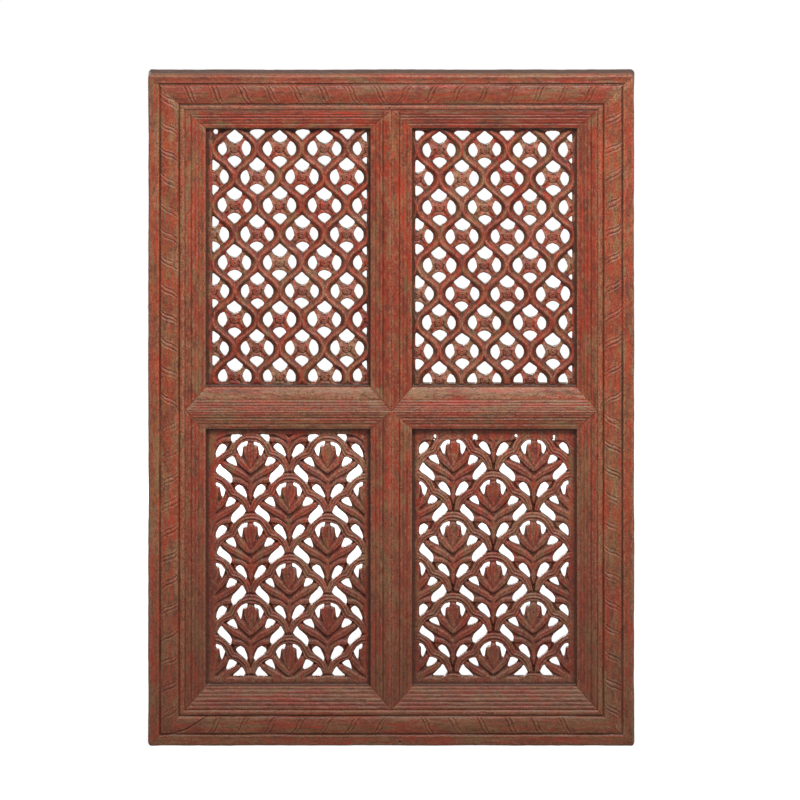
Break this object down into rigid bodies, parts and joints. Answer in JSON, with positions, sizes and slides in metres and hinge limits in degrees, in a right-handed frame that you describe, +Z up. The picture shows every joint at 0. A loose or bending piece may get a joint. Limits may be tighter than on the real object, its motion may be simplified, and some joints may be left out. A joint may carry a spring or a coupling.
{
  "type": "carved jali screen",
  "caption": "Rectangular carved wooden jali screen: a pegged frame with mullion and cross rail, pierced flower and palmette panels, and mitred mouldings, in worn red paint.",
  "frame": {"origin": "middle of the foot, at the centre of the bounding box's bottom face", "axes": "+X to the viewer's right, +Z up, the carved face looks along -Y and the flat back along +Y"},
  "size_m": [0.91, 0.052, 1.285],
  "materials": {
    "frame_wood": "worn red paint over brown wood, matt",
    "moulding_wood": "worn red paint over brown wood, matt",
    "jali_wood": "worn red paint on the carving, bare brown recesses",
    "peg_wood": "bare aged wood"
  },
  "bodies": {
    "root": {"bottom_rail": "frame_wood", "corner_pegs": "peg_wood", "cross_rail_left": "frame_wood", "cross_rail_pegs": "peg_wood", "cross_rail_right": "frame_wood", "jali_lower_left": "jali_wood", "jali_lower_right": "jali_wood", "jali_upper_left": "jali_wood", "jali_upper_right": "jali_wood", "moulding_lower_left_bottom": "moulding_wood", "moulding_lower_left_left": "moulding_wood", "moulding_lower_left_right": "moulding_wood", "moulding_lower_left_top": "moulding_wood", "moulding_lower_right_bottom": "moulding_wood", "moulding_lower_right_left": "moulding_wood", "moulding_lower_right_right": "moulding_wood", "moulding_lower_right_top": "moulding_wood", "moulding_upper_left_bottom": "moulding_wood", "moulding_upper_left_left": "moulding_wood", "moulding_upper_left_right": "moulding_wood", "moulding_upper_left_top": "moulding_wood", "moulding_upper_right_bottom": "moulding_wood", "moulding_upper_right_left": "moulding_wood", "moulding_upper_right_right": "moulding_wood", "moulding_upper_right_top": "moulding_wood", "mullion": "frame_wood", "mullion_pegs": "peg_wood", "stile_left": "frame_wood", "stile_right": "frame_wood", "top_rail": "frame_wood"}
  },
  "joints": []
}
